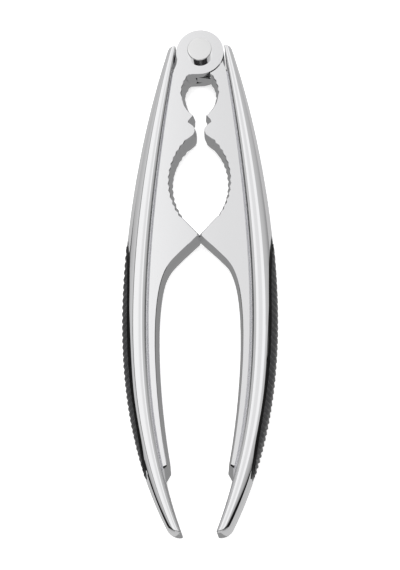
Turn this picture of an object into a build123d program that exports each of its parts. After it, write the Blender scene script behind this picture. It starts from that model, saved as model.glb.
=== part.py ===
from build123d import *
import math
import os

# Two-arm hinged nutcracker, lying flat on its back, closed.
# Millimetres. The hinge axis is the Z axis, the tips point to -Y, the right arm is on +X,
# and Z = 0 is the plane that the handle rails and the rear rivet cap rest on.
# Everything is drawn for the right arm; the left arm is its mirror image, apart from the knuckle.

# --- thickness of the stack at the hinge -------------------------------------------------
rail_thickness = 14.0        # handle rails, the thickest part
jaw_thickness = 11.5         # flat-faced jaw plates, centred on the rails
ear_thickness = 3.2          # each of the two ears of the left arm
washer_thickness = 0.3       # thin slip washers between ears and tongue
running_gap = 0.02           # tongue face to washer
mid_z = rail_thickness / 2
jaw_bottom = mid_z - jaw_thickness / 2
jaw_top = mid_z + jaw_thickness / 2
tongue_thickness = jaw_thickness - 2 * (ear_thickness + washer_thickness + running_gap)
tongue_bottom = mid_z - tongue_thickness / 2

# --- hinge ---------------------------------------------------------------------------------
knuckle_radius = 8.6         # ears and tongue
swing_gap = 0.45             # between a knuckle and whatever turns round it
pin_radius = 2.9
pin_running_gap = 0.04       # radial, pin to tongue bore
pin_head_radius = 4.4
pin_head_height = 2.7
pin_edge = 0.3               # rounding of the rivet heads
stud_radius = 1.5            # stud of the rear cap, pressed into the hollow pin
stud_length = 7.0
washer_radius = 7.2
shoulder_x = 3.8             # the right arm's front and rear faces start here, below the ears
closing_gap = 0.1            # between the two arms where they meet below the nut opening

# --- jaw plate -----------------------------------------------------------------------------
wall_bulge = 1.0             # cast walls stand out this much at half thickness
edge_break = 0.2             # bevel along the front and rear edges of the walls
small_arc_centre = (-4.5, -16.0)
small_arc_radius = 11.0      # wall of the small nut opening
small_teeth = 4
small_tooth_depth = 0.3
large_arc_radius = 22.4      # wall of the large nut opening
large_half_width = 10.7      # half the width of the large nut opening, to the tips of its teeth
large_arc_centre = (large_half_width - large_arc_radius, -49.4)
large_arc_top = 15.84        # ends of that arc, above and below its centre
large_arc_bottom = -13.64
large_teeth = 13
large_tooth_depth = 0.4
neck_half_gap = 1.45         # flat clearance between the two arms at the neck
groove_width = 0.55          # bevel from the flat face down into the groove beside the rail
groove_depth = 1.5
wall_overlap = 0.3           # plate blank reaches this far into the rail before the rail is cut out

# --- handle rail ---------------------------------------------------------------------------
# control points of the two smooth edges of the rail in plan, hinge end first, tip last;
# both have the same steps along Y, so equal parameters lie at the same Y
rail_inner_points = [(8.53, 2.2), (15.72, -41.9), (19.59, -86.0), (22.63, -130.1), (5.81, -174.2)]
rail_outer_points = [(11.17, 2.2), (25.25, -41.9), (28.36, -86.0), (33.33, -130.1), (10.04, -174.2)]
rail_stations = 15           # cross-sections along the rail
crown_share = 0.25           # inner rounding of the rail, as a share of its width
outer_share = 0.55           # outer rounding of the rail, as a share of its width
hinge_end_rounding = 0.6
tip_end_rounding = 0.9

# --- grip ----------------------------------------------------------------------------------
# edge of the recess that holds the grip, from the hinge end to the tip end
grip_edge = [(25.7, -67.5), (24.4, -80.0), (24.15, -98.0), (22.4, -125.0), (19.1, -145.0), (17.5, -156.0)]
carrier_width = 0.9          # hard strip under and beside the soft pad
pad_proud = 0.35             # pad above the rail's surface

# --- screws that hold the rail to the jaw, hidden under the grip ----------------------------
screw_stations = [-78.0, -95.0, -112.0]
screw_radius = 1.25
screw_clearance = 0.15       # radial, screw through the rail
screw_head_radius = 2.2
screw_head_height = 1.4
head_clearance = 0.15        # radial, screw head in its counterbore
clamped_length = 4.2         # rail material under the screw head
screw_bite = 2.2             # length of thread in the jaw
socket_width = 1.5           # across flats of the hexagon socket
socket_depth = 0.8


def polar(centre, radius, degrees):
    """Point on a circle."""
    angle = math.radians(degrees)
    return (centre[0] + radius * math.cos(angle), centre[1] + radius * math.sin(angle))


def toothed_arc(centre, radius, start, end, count, depth):
    """Points of a saw-toothed arc: tips on the radius, notches deeper by depth."""
    step = (end - start) / count
    points = [polar(centre, radius, start)]
    for i in range(count):
        points.append(polar(centre, radius + depth, start + (i + 0.5) * step))
        points.append(polar(centre, radius, start + (i + 1) * step))
    return points


def jaw_outline(grow, z):
    """Outline of the right jaw plate, its inner walls moved towards the other arm by grow."""
    small_radius = small_arc_radius - grow
    small = toothed_arc(small_arc_centre, small_radius, 41, -5, small_teeth, small_tooth_depth)
    neck_top = (2.35 - grow / 2, -24.6)
    small_wall = ThreePointArc(small[-1], polar(small_arc_centre, small_radius, -30), neck_top)
    neck = Polyline(
        neck_top,
        (3.9 - grow, -26.5),
        (4.0 - grow, -27.2),
        (2.3 - grow / 2, -28.6),
        (1.75 - grow / 2, -29.6),
        (1.75 - grow / 2, -30.8),
        (2.2 - grow / 2, -31.9),
    )
    large_radius = large_arc_radius - grow
    top = math.degrees(math.asin(large_arc_top / large_arc_radius))
    bottom = math.degrees(math.asin(large_arc_bottom / large_arc_radius))
    large = toothed_arc(large_arc_centre, large_radius, top, bottom, large_teeth, large_tooth_depth)
    nose_x = 0.55 - 1.4 * grow
    handle_start = (6.15 - grow, -75.1 + grow / 3)
    handle_end = (11.0 - grow, -150.0)
    handle = Bezier(
        handle_start,
        (11.95 - grow, -81.4),
        (17.3 - grow, -81.4),
        (16.5 - grow, -119.7),
        handle_end,
    )
    nose = Polyline(large[-1], (nose_x, -69.0), (nose_x, -69.8), handle_start)
    heel = Polyline(
        handle_end,
        (10.7 - grow, -151.4 - 2 * grow),
        (11.7 - grow / 4, -152.3 - 4.2 * grow),
        (15.0, -152.4 - 4.2 * grow),
    )
    back = Polyline(
        (15.0, -152.4 - 4.2 * grow),
        (20.0, -140.0),
        (20.0, -70.0),
        (11.5, -9.0),
        (9.2, -6.6),
        (8.4, -4.5),
        (8.15, -2.6),
        (5.0, -1.0),
        (0.0, -6.0),
        (0.0, -8.6),
        small[0],
    )
    walls = [Polyline(*small), small_wall, neck, Polyline(neck @ 1, large[0]), Polyline(*large)]
    edges = [edge for piece in walls + [nose, handle, heel, back] for edge in piece.edges()]
    return Pos(0, 0, z) * make_face(edges)


def plate_blank():
    """Right jaw plate with bulging walls and broken edges, before the groove and the hinge."""
    sections = [
        jaw_outline(-edge_break, jaw_bottom),
        jaw_outline(0, jaw_bottom + edge_break),
        jaw_outline(wall_bulge, mid_z),
        jaw_outline(0, jaw_top - edge_break),
        jaw_outline(-edge_break, jaw_top),
    ]
    return loft(sections, ruled=True)


def groove_envelope():
    """Space inside the rail's inner face, bevelled at the front and rear by the groove."""

    def layer(shift, z):
        curve = Bezier(*[(x + shift, y) for x, y in rail_inner_points])
        closing = Polyline(curve @ 1, (-30, (curve @ 1).Y), (-30, (curve @ 0).Y), curve @ 0)
        return Pos(0, 0, z) * make_face(curve.edges() + closing.edges())

    sections = [
        layer(-groove_width, jaw_bottom),
        layer(wall_overlap, jaw_bottom + groove_depth),
        layer(wall_overlap, jaw_top - groove_depth),
        layer(-groove_width, jaw_top),
    ]
    return loft(sections, ruled=True)


def rail_section(y, inner, outer):
    """Cross-section of the rail at one station, with a rounded crown and a rounder outside."""
    crown = crown_share * (outer - inner)
    round_out = outer_share * (outer - inner)
    plane = Plane((0, y, 0), x_dir=(1, 0, 0), z_dir=(0, -1, 0))
    box = Rectangle(outer - inner, rail_thickness)
    corners = box.vertices().group_by(Axis.X)
    shape = fillet(corners[0], crown)
    shape = fillet(shape.vertices().group_by(Axis.X)[-1], round_out)
    return plane * Pos((inner + outer) / 2, mid_z) * shape


def rail_body(extra=0.0):
    """Whole right rail with its grip zone filled, extra thicker on its outer side."""
    inner_edge = Bezier(*rail_inner_points)
    outer_edge = Bezier(*rail_outer_points)
    sections = []
    for i in range(rail_stations):
        inner = inner_edge @ (i / (rail_stations - 1))
        outer = outer_edge @ (i / (rail_stations - 1))
        sections.append(rail_section(inner.Y, inner.X, outer.X + extra))
    return loft(sections)


def rounded_rail():
    """Right rail with both ends rounded and the knuckle's swing cleared."""
    rail = rail_body()
    rail = fillet(rail.faces().sort_by(Axis.Y)[-1].edges(), hinge_end_rounding)
    rail = fillet(rail.faces().sort_by(Axis.Y)[0].edges(), tip_end_rounding)
    return rail - Pos(0, 0, mid_z) * Cylinder(knuckle_radius + swing_gap, 2 * rail_thickness)


def beyond_grip_edge(shift):
    """Everything outside the grip's edge moved outwards by shift."""
    curve = Spline(*[(x + shift, y) for x, y in grip_edge])
    far = grip_edge[0][0] + 20
    closing = Polyline(curve @ 1, (far, (curve @ 1).Y), (far, (curve @ 0).Y), curve @ 0)
    return extrude(make_face(curve.edges() + closing.edges()), rail_thickness)


def screw_seat(y):
    """Plane under a screw's head, its X axis along the screw and out of the arm."""
    crossing = Bezier(*rail_inner_points).intersect(Line((0, y), (60, y))).vertices()[0]
    return Pos(crossing.X + clamped_length, y, mid_z) * Rot(0, 90, 0)


def along_screw(radius, start, end):
    """Cylinder on a screw's axis from start to end, measured outwards from the seat."""
    return Pos(0, 0, (start + end) / 2) * Cylinder(radius, end - start)


def shell_screw(y):
    """Socket-head screw through the rail into the jaw."""
    shank = along_screw(screw_radius, -clamped_length - screw_bite, 0)
    head = along_screw(screw_head_radius, 0, screw_head_height)
    socket = Pos(0, 0, screw_head_height - socket_depth) * extrude(
        RegularPolygon(socket_width / 2, 6, major_radius=False), socket_depth
    )
    return screw_seat(y) * (head + shank - socket)


def tooled_rail():
    """Right handle shell with its grip recess and screw holes."""
    shell = rounded_rail() - beyond_grip_edge(0)
    for y in screw_stations:
        hole = along_screw(screw_radius + screw_clearance, -clamped_length - screw_bite, 1)
        counterbore = along_screw(screw_head_radius + head_clearance, 0, 10)
        shell -= screw_seat(y) * (hole + counterbore)
    return shell


def tooled_plate():
    """Right jaw plate with groove, rail seat and threaded holes, before the hinge is cut."""
    plate = (plate_blank() & groove_envelope()) - rail_body()
    plate -= Pos(0, -27, mid_z) * Box(2 * neck_half_gap, 24, rail_thickness)
    plate -= Pos(-20 + closing_gap / 2, -90, mid_z) * Box(40, 200, rail_thickness)
    for y in screw_stations:
        plate -= screw_seat(y) * along_screw(screw_radius, -clamped_length - screw_bite, 0)
    return plate


def disc(radius, bottom, height):
    """Disc on the hinge axis."""
    return Pos(0, 0, bottom + height / 2) * Cylinder(radius, height)


def left_jaw(plate):
    """Left arm's plate with two ears, slotted for the tongue and bored for the pin."""
    slot_bottom = jaw_bottom + ear_thickness
    slot_height = jaw_thickness - 2 * ear_thickness
    jaw = mirror(plate, Plane.YZ) + disc(knuckle_radius, jaw_bottom, jaw_thickness)
    jaw -= disc(knuckle_radius + swing_gap, slot_bottom, slot_height)
    return jaw - disc(pin_radius, jaw_bottom, jaw_thickness)


def ear_space(bottom, top):
    """Room for one ear and for the web that closes its arm's nut opening."""
    clear = knuckle_radius + swing_gap
    web = Pos(0, -clear / 2, (bottom + top) / 2) * Box(2 * shoulder_x, clear + 0.5, top - bottom)
    return disc(clear, bottom, top - bottom) + web


def right_jaw(plate):
    """Right arm's plate with its tongue, cleared of the ears and bored for the pin."""
    tongue_top = tongue_bottom + tongue_thickness
    jaw = plate - ear_space(jaw_bottom, tongue_bottom) - ear_space(tongue_top, jaw_top)
    jaw += disc(knuckle_radius, tongue_bottom, tongue_thickness)
    return jaw - disc(pin_radius + pin_running_gap, tongue_bottom, tongue_thickness)


def pivot_pin():
    """Headed hollow rivet through both arms."""
    head = disc(pin_head_radius, jaw_top, pin_head_height)
    head = fillet(head.edges().sort_by(Axis.Z)[-1], pin_edge)
    bore = disc(stud_radius, jaw_bottom, stud_length + 0.5)
    return head + disc(pin_radius, jaw_bottom, jaw_thickness) - bore


def pivot_cap():
    """Rear rivet cap, its stud pressed into the pin."""
    cap = disc(pin_head_radius, 0, jaw_bottom)
    cap = fillet(cap.edges().sort_by(Axis.Z)[0], pin_edge)
    return cap + disc(stud_radius, jaw_bottom, stud_length)


def washer(bottom):
    """Slip washer round the pin."""
    return disc(washer_radius, bottom, washer_thickness) - disc(pin_radius, bottom, washer_thickness)


plate = tooled_plate()
right_side = {
    "handle_shell": tooled_rail(),
    "grip_carrier": (rail_body() & beyond_grip_edge(0)) - beyond_grip_edge(carrier_width),
    "grip_pad": rail_body(pad_proud) & beyond_grip_edge(carrier_width),
}
for number, y in enumerate(screw_stations, start=1):
    right_side[f"shell_screw_{number}"] = shell_screw(y)

nodes = {"left_jaw": left_jaw(plate), "right_jaw": right_jaw(plate)}
for name, shape in right_side.items():
    nodes["right_" + name] = shape
    nodes["left_" + name] = mirror(shape, Plane.YZ)
nodes["pivot_pin"] = pivot_pin()
nodes["pivot_cap"] = pivot_cap()
nodes["rear_washer"] = washer(jaw_bottom + ear_thickness)
nodes["front_washer"] = washer(jaw_top - ear_thickness - washer_thickness)

os.makedirs("parts", exist_ok=True)
for name, shape in nodes.items():
    export_step(shape, f"parts/{name}.step")
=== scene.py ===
import math
import bmesh
import bpy
from mathutils import Matrix, Vector


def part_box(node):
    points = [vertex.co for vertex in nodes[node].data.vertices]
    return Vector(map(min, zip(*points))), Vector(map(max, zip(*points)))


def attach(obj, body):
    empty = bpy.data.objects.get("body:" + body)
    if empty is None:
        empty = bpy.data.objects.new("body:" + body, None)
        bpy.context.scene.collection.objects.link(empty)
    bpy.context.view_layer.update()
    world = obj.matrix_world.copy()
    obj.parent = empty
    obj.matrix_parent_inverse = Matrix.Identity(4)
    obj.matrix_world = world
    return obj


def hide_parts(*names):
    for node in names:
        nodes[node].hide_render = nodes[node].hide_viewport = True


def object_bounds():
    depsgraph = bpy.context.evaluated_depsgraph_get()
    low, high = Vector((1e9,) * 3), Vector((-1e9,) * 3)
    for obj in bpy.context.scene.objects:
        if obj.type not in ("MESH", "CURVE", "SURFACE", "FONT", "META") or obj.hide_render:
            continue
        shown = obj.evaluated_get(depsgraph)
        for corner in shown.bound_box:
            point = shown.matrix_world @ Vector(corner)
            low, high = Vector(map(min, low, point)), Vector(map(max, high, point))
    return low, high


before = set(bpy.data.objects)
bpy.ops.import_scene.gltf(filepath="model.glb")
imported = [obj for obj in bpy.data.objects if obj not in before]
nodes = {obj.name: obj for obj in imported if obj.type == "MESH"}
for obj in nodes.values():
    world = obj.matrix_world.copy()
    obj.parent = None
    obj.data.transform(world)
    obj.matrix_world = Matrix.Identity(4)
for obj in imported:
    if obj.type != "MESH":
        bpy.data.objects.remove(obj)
cad_low, cad_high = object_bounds()


# Jaws: two zinc castings, ground flat on the front and back, then copper, nickel and chrome plated.
# The ground faces were buffed to a mirror; the toothed walls of the nut openings and the grooves keep
# a slightly softer as-cast skin under the plating. The left jaw's ears hold the right jaw's tongue.
def chrome_plate(name, tint, polished, as_cast, haze_size):
    material = bpy.data.materials.new(name)
    material.use_nodes = True
    tree = material.node_tree
    shader = tree.nodes["Principled BSDF"]
    shader.inputs["Base Color"].default_value = (*tint, 1)
    shader.inputs["Metallic"].default_value = 1
    place = tree.nodes.new("ShaderNodeTexCoord")
    facing = tree.nodes.new("ShaderNodeSeparateXYZ")
    tree.links.new(place.outputs["Normal"], facing.inputs["Vector"])
    upright = tree.nodes.new("ShaderNodeMath")
    upright.operation = "ABSOLUTE"
    tree.links.new(facing.outputs["Z"], upright.inputs[0])
    finish = tree.nodes.new("ShaderNodeMapRange")
    finish.inputs["From Min"].default_value = 0.2
    finish.inputs["From Max"].default_value = 0.75
    finish.inputs["To Min"].default_value = as_cast
    finish.inputs["To Max"].default_value = polished
    tree.links.new(upright.outputs["Value"], finish.inputs["Value"])
    haze = tree.nodes.new("ShaderNodeTexNoise")
    haze.inputs["Scale"].default_value = 1 / haze_size
    haze.inputs["Detail"].default_value = 5
    tree.links.new(place.outputs["Object"], haze.inputs["Vector"])
    patchy = tree.nodes.new("ShaderNodeMapRange")
    patchy.inputs["To Min"].default_value = 0.65
    patchy.inputs["To Max"].default_value = 1.35
    tree.links.new(haze.outputs["Fac"], patchy.inputs["Value"])
    gloss = tree.nodes.new("ShaderNodeMath")
    gloss.operation = "MULTIPLY"
    tree.links.new(finish.outputs["Result"], gloss.inputs[0])
    tree.links.new(patchy.outputs["Result"], gloss.inputs[1])
    tree.links.new(gloss.outputs["Value"], shader.inputs["Roughness"])
    stretch = tree.nodes.new("ShaderNodeMapping")
    stretch.inputs["Scale"].default_value = (2600, 160, 900)
    tree.links.new(place.outputs["Object"], stretch.inputs["Vector"])
    lines = tree.nodes.new("ShaderNodeTexNoise")
    lines.inputs["Scale"].default_value = 1
    lines.inputs["Detail"].default_value = 2
    tree.links.new(stretch.outputs["Vector"], lines.inputs["Vector"])
    buffing = tree.nodes.new("ShaderNodeBump")
    buffing.inputs["Strength"].default_value = 0.05
    buffing.inputs["Distance"].default_value = 0.00001
    tree.links.new(lines.outputs["Fac"], buffing.inputs["Height"])
    tree.links.new(buffing.outputs["Normal"], shader.inputs["Normal"])
    return material


def finish_node(node, material):
    nodes[node].data.materials.clear()
    nodes[node].data.materials.append(material)


jaw_chrome = chrome_plate("jaw_chrome", (0.87, 0.87, 0.88), 0.045, 0.13, 0.012)
for jaw in ("left_jaw", "right_jaw"):
    finish_node(jaw, jaw_chrome)


# Handle shells: cast rails with a rounded crown and a rounder outside, clamped on the jaws' outer edge
# and plated with them. They are buffed all over, so the surface runs smoothly from the hinge to the
# rounded tip. A recess is milled out of the outer side for the grip, and the knuckle's swing cleared.
def smooth_copy(node, name, sharpest):
    mesh = nodes[node].data.copy()
    mesh.name = name
    shape = bmesh.new()
    shape.from_mesh(mesh)
    bmesh.ops.remove_doubles(shape, verts=shape.verts, dist=0.000001)
    for face in shape.faces:
        face.smooth = True
    for edge in shape.edges:
        edge.smooth = edge.calc_face_angle(0) < math.radians(sharpest)
    shape.to_mesh(mesh)
    shape.free()
    piece = bpy.data.objects.new(name, mesh)
    bpy.context.scene.collection.objects.link(piece)
    shading = piece.modifiers.new("even shading", "WEIGHTED_NORMAL")
    shading.keep_sharp = True
    return piece


def dress(piece, material, node, body):
    piece.data.materials.clear()
    piece.data.materials.append(material)
    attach(piece, body)
    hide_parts(node)


def along(points, share):
    points = list(points)
    while len(points) > 1:
        points = [a.lerp(b, share) for a, b in zip(points, points[1:])]
    return points[0]


def turned_in(distance, radius):
    return radius - math.sqrt(radius**2 - max(0, radius - distance) ** 2)


def rail_ring(station, length, middle, thickness):
    inner = along(rail_inner, station / length)
    outer = along(rail_outer, station / length)
    edge = turned_in(station, hinge_edge) + turned_in(length - station, tip_edge)
    corner = turned_in(station, hinge_corner) + turned_in(length - station, tip_corner)
    low_x = inner.x + edge
    high_x = outer.x - edge - corner
    crown = crown_share * (high_x - low_x)
    round_out = outer_share * (high_x - low_x)
    top = thickness / 2 - edge
    ring = []
    corners = ((1, 1, round_out, 0), (0, 1, crown, 90), (0, -1, crown, 180), (1, -1, round_out, 270))
    for across, up, radius, start in corners:
        centre_x = high_x - radius if across else low_x + radius
        for step in range(corner_points):
            angle = math.radians(start + 90 * step / (corner_points - 1))
            x = centre_x + radius * math.cos(angle)
            z = middle + up * (top - radius) + radius * math.sin(angle)
            ring.append(Vector((x, inner.y, z)))
    return ring


def cast_rail():
    length = rail_inner[0].y - rail_inner[-1].y
    low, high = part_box("right_handle_shell")
    stations = [hinge_corner * share for share in (0, 0.02, 0.08, 0.2, 0.4, 0.65, 1)]
    between = length - hinge_corner - tip_corner
    stations += [hinge_corner + between * step / rail_steps for step in range(1, rail_steps)]
    stations += [length - tip_corner * share for share in (1, 0.75, 0.5, 0.3, 0.15, 0.06, 0.015, 0)]
    shape = bmesh.new()
    ring = bmesh.ops.create_circle(shape, segments=4 * corner_points, radius=0.001)["verts"]
    for station in stations:
        if station > stations[0]:
            edges = [shape.edges.get((ring[number - 1], ring[number])) for number in range(len(ring))]
            made = set(bmesh.ops.extrude_edge_only(shape, edges=edges)["geom"])
            ring = [next(e.other_vert(v) for e in v.link_edges if e.other_vert(v) in made) for v in ring]
        places = rail_ring(station, length, (low.z + high.z) / 2, high.z - low.z)
        for vert, place in zip(ring, places):
            vert.co = place
    bmesh.ops.holes_fill(shape, edges=[edge for edge in shape.edges if edge.is_boundary])
    bmesh.ops.recalc_face_normals(shape, faces=shape.faces)
    return shape


def recess_block():
    edge = []
    for number in range(len(grip_edge) - 1):
        before = grip_edge[max(0, number - 1)]
        start, end = grip_edge[number], grip_edge[number + 1]
        after = grip_edge[min(len(grip_edge) - 1, number + 2)]
        for step in range(edge_steps):
            t = step / edge_steps
            cubic = 2 * start + (end - before) * t + (2 * before - 5 * start + 4 * end - after) * t * t
            edge.append((cubic + (3 * start - before - 3 * end + after) * t**3) / 2)
    edge.append(grip_edge[-1])
    shape = bmesh.new()
    outline = [Vector((point.x - recess_gap, point.y, -0.01)) for point in edge]
    outline += [Vector((0.05, edge[-1].y, -0.01)), Vector((0.05, edge[0].y, -0.01))]
    base = shape.faces.new([shape.verts.new(place) for place in outline])
    raised = bmesh.ops.extrude_face_region(shape, geom=[base])["geom"]
    lifted = [piece for piece in raised if isinstance(piece, bmesh.types.BMVert)]
    bmesh.ops.translate(shape, vec=(0, 0, 0.04), verts=lifted)
    bmesh.ops.recalc_face_normals(shape, faces=shape.faces)
    return shape


def swing_block(radius):
    shape = bmesh.new()
    turn = Matrix.Translation((0, 0, 0.007))
    bmesh.ops.create_cone(
        shape, cap_ends=True, segments=180, radius1=radius, radius2=radius, depth=0.04, matrix=turn
    )
    return shape


def as_object(shape, name, mirrored):
    if mirrored:
        bmesh.ops.scale(shape, vec=(-1, 1, 1), verts=shape.verts)
        bmesh.ops.recalc_face_normals(shape, faces=shape.faces)
    mesh = bpy.data.meshes.new(name)
    shape.to_mesh(mesh)
    shape.free()
    piece = bpy.data.objects.new(name, mesh)
    bpy.context.scene.collection.objects.link(piece)
    return piece


crown_share, outer_share = 0.25, 0.55
corner_points = 9
rail_steps = 110
edge_steps = 10
recess_gap = 0.00008
rail_y = (0.0022, -0.0419, -0.0860, -0.1301, -0.1742)
rail_inner = [Vector((x, y)) for x, y in zip((0.00853, 0.01572, 0.01959, 0.02263, 0.00581), rail_y)]
rail_outer = [Vector((x, y)) for x, y in zip((0.01117, 0.02525, 0.02836, 0.03333, 0.01004), rail_y)]
hinge_edge, hinge_corner = 0.0005, 0.0014
tip_edge, tip_corner = 0.0007, 0.0024
grip_edge = [Vector((0.0257, -0.0675)), Vector((0.0244, -0.080)), Vector((0.02415, -0.098))]
grip_edge += [Vector((0.0224, -0.125)), Vector((0.0191, -0.145)), Vector((0.0175, -0.156))]
swing_radius = 0.00905
shell_chrome = chrome_plate("shell_chrome", (0.88, 0.88, 0.89), 0.035, 0.05, 0.02)
for side in ("left", "right"):
    shell = as_object(cast_rail(), f"{side}_shell", side == "left")
    for block in (recess_block(), swing_block(swing_radius)):
        tool = as_object(block, "cutter", side == "left")
        cut = shell.modifiers.new("cut", "BOOLEAN")
        cut.object = tool
        cut.solver = "EXACT"
        bpy.context.view_layer.update()
        result = shell.evaluated_get(bpy.context.evaluated_depsgraph_get())
        mesh = bpy.data.meshes.new_from_object(result)
        shell.modifiers.clear()
        shell.data = mesh
        bpy.data.objects.remove(tool)
    mesh.name = f"{side}_shell"
    shape = bmesh.new()
    shape.from_mesh(mesh)
    for face in shape.faces:
        face.smooth = True
    for edge in shape.edges:
        edge.smooth = edge.calc_face_angle(0) < math.radians(40)
    shape.to_mesh(mesh)
    shape.free()
    dress(shell, shell_chrome, f"{side}_handle_shell", f"{side}_arm")


# Pivot: a hollow rivet of plated steel through both arms, its cap pressed in from the back. The heads
# are turned, so they show faint rings, and they are the brightest and hardest plating on the tool.
def turned_chrome(name, tint, roughness, ring_pitch):
    material = bpy.data.materials.new(name)
    material.use_nodes = True
    tree = material.node_tree
    shader = tree.nodes["Principled BSDF"]
    shader.inputs["Base Color"].default_value = (*tint, 1)
    shader.inputs["Metallic"].default_value = 1
    place = tree.nodes.new("ShaderNodeTexCoord")
    rings = tree.nodes.new("ShaderNodeTexWave")
    rings.wave_type = "RINGS"
    rings.rings_direction = "Z"
    rings.inputs["Scale"].default_value = 1 / (ring_pitch * 20)
    rings.inputs["Distortion"].default_value = 0.4
    tree.links.new(place.outputs["Object"], rings.inputs["Vector"])
    spread = tree.nodes.new("ShaderNodeMapRange")
    spread.inputs["To Min"].default_value = roughness * 0.8
    spread.inputs["To Max"].default_value = roughness * 1.3
    tree.links.new(rings.outputs["Fac"], spread.inputs["Value"])
    tree.links.new(spread.outputs["Result"], shader.inputs["Roughness"])
    turning = tree.nodes.new("ShaderNodeBump")
    turning.inputs["Strength"].default_value = 0.04
    turning.inputs["Distance"].default_value = 0.00001
    tree.links.new(rings.outputs["Fac"], turning.inputs["Height"])
    tree.links.new(turning.outputs["Normal"], shader.inputs["Normal"])
    return material


pin_chrome = turned_chrome("pin_chrome", (0.88, 0.88, 0.88), 0.05, 0.0003)
pin = smooth_copy("pivot_pin", "rivet", 32)
dress(pin, pin_chrome, "pivot_pin", "left_arm")
cap = smooth_copy("pivot_cap", "rivet_cap", 32)
dress(cap, pin_chrome, "pivot_cap", "left_arm")


# Washers: two thin rings of zinc-plated spring steel between the ears and the tongue. They are
# stamped, so the faces are flat and dull, and they sit loose on the rivet.
washer_steel = turned_chrome("washer_steel", (0.55, 0.55, 0.54), 0.32, 0.0006)
for washer in ("front_washer", "rear_washer"):
    finish_node(washer, washer_steel)


# Shell screws: three socket-head screws a side, hidden under the grip, blackened alloy steel with
# rolled threads. They clamp the shell to the jaw before the grip is pressed in.
screw_steel = turned_chrome("screw_steel", (0.09, 0.09, 0.095), 0.38, 0.0005)
for side in ("left", "right"):
    for number in (1, 2, 3):
        finish_node(f"{side}_shell_screw_{number}", screw_steel)


# Grip carriers: hard black plastic strips, moulded, that snap into the recess of the shell and carry
# the soft pad. A smooth margin of the strip shows as a black line between the chrome and the pad.
def moulded(name, colour, roughness, grain_size, grain_depth, sheen, shine):
    material = bpy.data.materials.new(name)
    material.use_nodes = True
    tree = material.node_tree
    shader = tree.nodes["Principled BSDF"]
    shader.inputs["Sheen Weight"].default_value = sheen
    shader.inputs["Specular IOR Level"].default_value = shine
    place = tree.nodes.new("ShaderNodeTexCoord")
    wear = tree.nodes.new("ShaderNodeTexNoise")
    wear.inputs["Scale"].default_value = 90
    wear.inputs["Detail"].default_value = 4
    tree.links.new(place.outputs["Object"], wear.inputs["Vector"])
    shade = tree.nodes.new("ShaderNodeMix")
    shade.data_type = "RGBA"
    shade.inputs["A"].default_value = (*[0.7 * level for level in colour], 1)
    shade.inputs["B"].default_value = (*[1.35 * level for level in colour], 1)
    tree.links.new(wear.outputs["Fac"], shade.inputs["Factor"])
    tree.links.new(shade.outputs["Result"], shader.inputs["Base Color"])
    dull = tree.nodes.new("ShaderNodeMapRange")
    dull.inputs["To Min"].default_value = roughness * 0.85
    dull.inputs["To Max"].default_value = min(1, roughness * 1.2)
    tree.links.new(wear.outputs["Fac"], dull.inputs["Value"])
    tree.links.new(dull.outputs["Result"], shader.inputs["Roughness"])
    grain = tree.nodes.new("ShaderNodeTexVoronoi")
    grain.inputs["Scale"].default_value = 1 / grain_size
    tree.links.new(place.outputs["Object"], grain.inputs["Vector"])
    relief = tree.nodes.new("ShaderNodeBump")
    relief.inputs["Strength"].default_value = 0.5
    relief.inputs["Distance"].default_value = grain_depth
    tree.links.new(grain.outputs["Distance"], relief.inputs["Height"])
    tree.links.new(relief.outputs["Normal"], shader.inputs["Normal"])
    return material


carrier_plastic = moulded("carrier_plastic", (0.006, 0.006, 0.006), 0.3, 0.0006, 0.00001, 0.0, 0.15)
for side in ("left", "right"):
    strip = smooth_copy(f"{side}_grip_carrier", f"{side}_carrier", 32)
    dress(strip, carrier_plastic, f"{side}_grip_carrier", f"{side}_arm")


# Grip pads: soft thermoplastic rubber moulded over the carrier, dark grey and matt. Ribs like the lay
# of a rope, slanting where they run out on the front and back, scallop the edge against slipping.
rib_pitch = 0.00245
rib_depth = 0.00095
rib_slant = 1.1
rib_fade = 0.003
pad_rubber = moulded("pad_rubber", (0.036, 0.036, 0.038), 0.5, 0.00035, 0.00003, 0.1, 0.5)
for side in ("left", "right"):
    pad = smooth_copy(f"{side}_grip_pad", f"{side}_pad", 32)
    remesh = pad.modifiers.new("even mesh", "REMESH")
    remesh.mode = "VOXEL"
    remesh.voxel_size = 0.00036
    bpy.context.view_layer.update()
    evened = pad.evaluated_get(bpy.context.evaluated_depsgraph_get())
    mesh = bpy.data.meshes.new_from_object(evened)
    pad.modifiers.clear()
    pad.data = mesh
    mesh.name = f"{side}_pad"
    shape = bmesh.new()
    shape.from_mesh(mesh)
    shape.normal_update()
    low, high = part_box(f"{side}_grip_pad")
    for vert in shape.verts:
        outward = vert.normal.x if side == "right" else -vert.normal.x
        share = min(1, max(0, outward * 1.6 + 0.5))
        lay = vert.co.y + rib_slant * abs(vert.co.x)
        valley = 1 - abs(math.sin(math.pi * lay / rib_pitch))
        ends = min(1, max(0, min(high.y - vert.co.y, vert.co.y - low.y) / rib_fade))
        vert.co -= vert.normal * rib_depth * share * ends * valley
    for face in shape.faces:
        face.smooth = True
    shape.to_mesh(mesh)
    shape.free()
    dress(pad, pad_rubber, f"{side}_grip_pad", f"{side}_arm")


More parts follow.
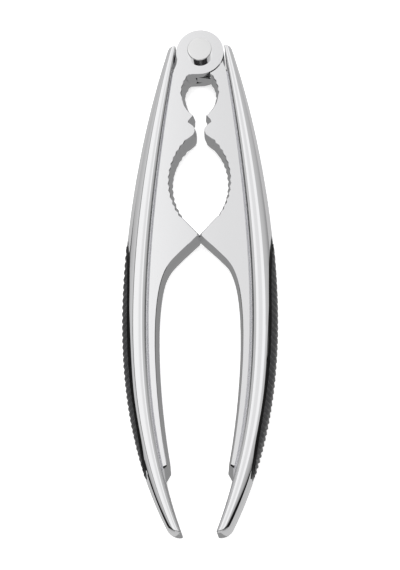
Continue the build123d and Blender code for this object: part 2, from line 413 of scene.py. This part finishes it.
# Table: a plain white translucent sheet lit from below, under the rest plane. The polished metal
# sees the studio's darker grey floor in its place, as it does round a light table.
def sheet(name, drop, colour, glow):
    bpy.ops.mesh.primitive_plane_add(size=6, location=(0, 0, cad_low.z - drop))
    piece = bpy.context.object
    piece.name = name
    material = bpy.data.materials.new(name)
    material.use_nodes = True
    shader = material.node_tree.nodes["Principled BSDF"]
    shader.inputs["Base Color"].default_value = (*colour, 1)
    shader.inputs["Roughness"].default_value = 0.9
    shader.inputs["Emission Color"].default_value = (1, 1, 1, 1)
    shader.inputs["Emission Strength"].default_value = glow
    piece.data.materials.append(material)
    return piece


table = sheet("table", 0.0002, (0.9, 0.9, 0.9), 0.5)
table.visible_glossy = False
studio_floor = sheet("studio_floor", 0.0006, (0.0, 0.0, 0.0), 0.55)
shade_below = sheet("shade_below", 0.0004, (0.0, 0.0, 0.0), 0.28)
below = bmesh.new()
bmesh.ops.create_circle(below, cap_ends=True, segments=64, radius=1)
bmesh.ops.scale(below, vec=(0.027, 0.096, 1), verts=below.verts)
bmesh.ops.translate(below, vec=(0, -0.084, 0), verts=below.verts)
below.to_mesh(shade_below.data)
below.free()
for unseen in (studio_floor, shade_below):
    unseen.visible_camera = False
    unseen.visible_diffuse = False
    unseen.visible_shadow = False


# Camera: a long lens above the front face, a little towards the tips and the right arm, and turned a
# hair about its own axis, so the tool stands upright in the frame. It is aimed at half thickness.
distance = 0.621
aim = Vector((-0.00008, -0.0862, 0.007))
away = Vector((0.0617, -0.2839, 0.9569))
camera_data = bpy.data.cameras.new("camera")
camera_data.lens = 111.8
camera = bpy.data.objects.new("camera", camera_data)
bpy.context.scene.collection.objects.link(camera)
back = away.normalized()
right = Vector((-0.0026, 1, 0)).cross(back).normalized()
up = back.cross(right)
turn = Matrix((right, up, back)).transposed().to_4x4()
camera.matrix_world = Matrix.Translation(aim + distance * back) @ turn
bpy.context.scene.camera = camera


# Light: a white tent with a black slot in the cloth below the lens, and darker cloth towards the
# sides. A soft overhead lamp, unseen in the metal, lifts the table and the rubber.
def cloth(tree, direction, axis, stops):
    span = tree.nodes.new("ShaderNodeMapRange")
    span.inputs["From Min"].default_value = -1
    span.inputs["From Max"].default_value = 1
    tree.links.new(direction.outputs[axis], span.inputs["Value"])
    bands = tree.nodes.new("ShaderNodeValToRGB")
    tree.links.new(span.outputs["Result"], bands.inputs["Fac"])
    ramp = bands.color_ramp
    for _ in stops[2:]:
        ramp.elements.new(0.5)
    for element, (place, level) in zip(ramp.elements, stops):
        element.position = (place + 1) / 2
        element.color = (level, level, level, 1)
    return bands


world = bpy.data.worlds.new("tent")
bpy.context.scene.world = world
world.use_nodes = True
tent = world.node_tree
around = tent.nodes.new("ShaderNodeTexCoord")
direction = tent.nodes.new("ShaderNodeSeparateXYZ")
tent.links.new(around.outputs["Generated"], direction.inputs["Vector"])
side_walls = [(-1, 0.01), (-0.93, 0.03), (-0.9, 0.5), (-0.6, 0.62), (-0.48, 0.6), (-0.46, 0.15)]
side_walls += [(-0.43, 0.15), (-0.4, 1.0), (-0.1, 1.0), (-0.05, 0.83), (0.05, 0.83), (0.1, 1.0)]
side_walls += [(0.34, 1.0), (0.4, 0.6), (0.8, 0.5), (0.93, 0.3), (0.96, 0.02), (1, 0.02)]
across = cloth(tent, direction, "X", side_walls)
end_walls = [(-1, 0.6), (-0.44, 0.6), (-0.4, 0.03), (-0.17, 0.03), (-0.12, 0.85), (0.05, 1), (1, 1)]
along = cloth(tent, direction, "Y", end_walls)
product = tent.nodes.new("ShaderNodeMix")
product.data_type = "RGBA"
product.blend_type = "MULTIPLY"
product.inputs["Factor"].default_value = 1
tent.links.new(across.outputs["Color"], product.inputs["A"])
tent.links.new(along.outputs["Color"], product.inputs["B"])
tent.links.new(product.outputs["Result"], tent.nodes["Background"].inputs["Color"])

lamp_data = bpy.data.lights.new("overhead", "AREA")
lamp_data.size = 1.5
lamp_data.energy = 20
lamp = bpy.data.objects.new("overhead", lamp_data)
lamp.location = (0, -0.1, 1.5)
lamp.visible_glossy = False
bpy.context.scene.collection.objects.link(lamp)

bpy.context.scene.view_settings.view_transform = "Standard"
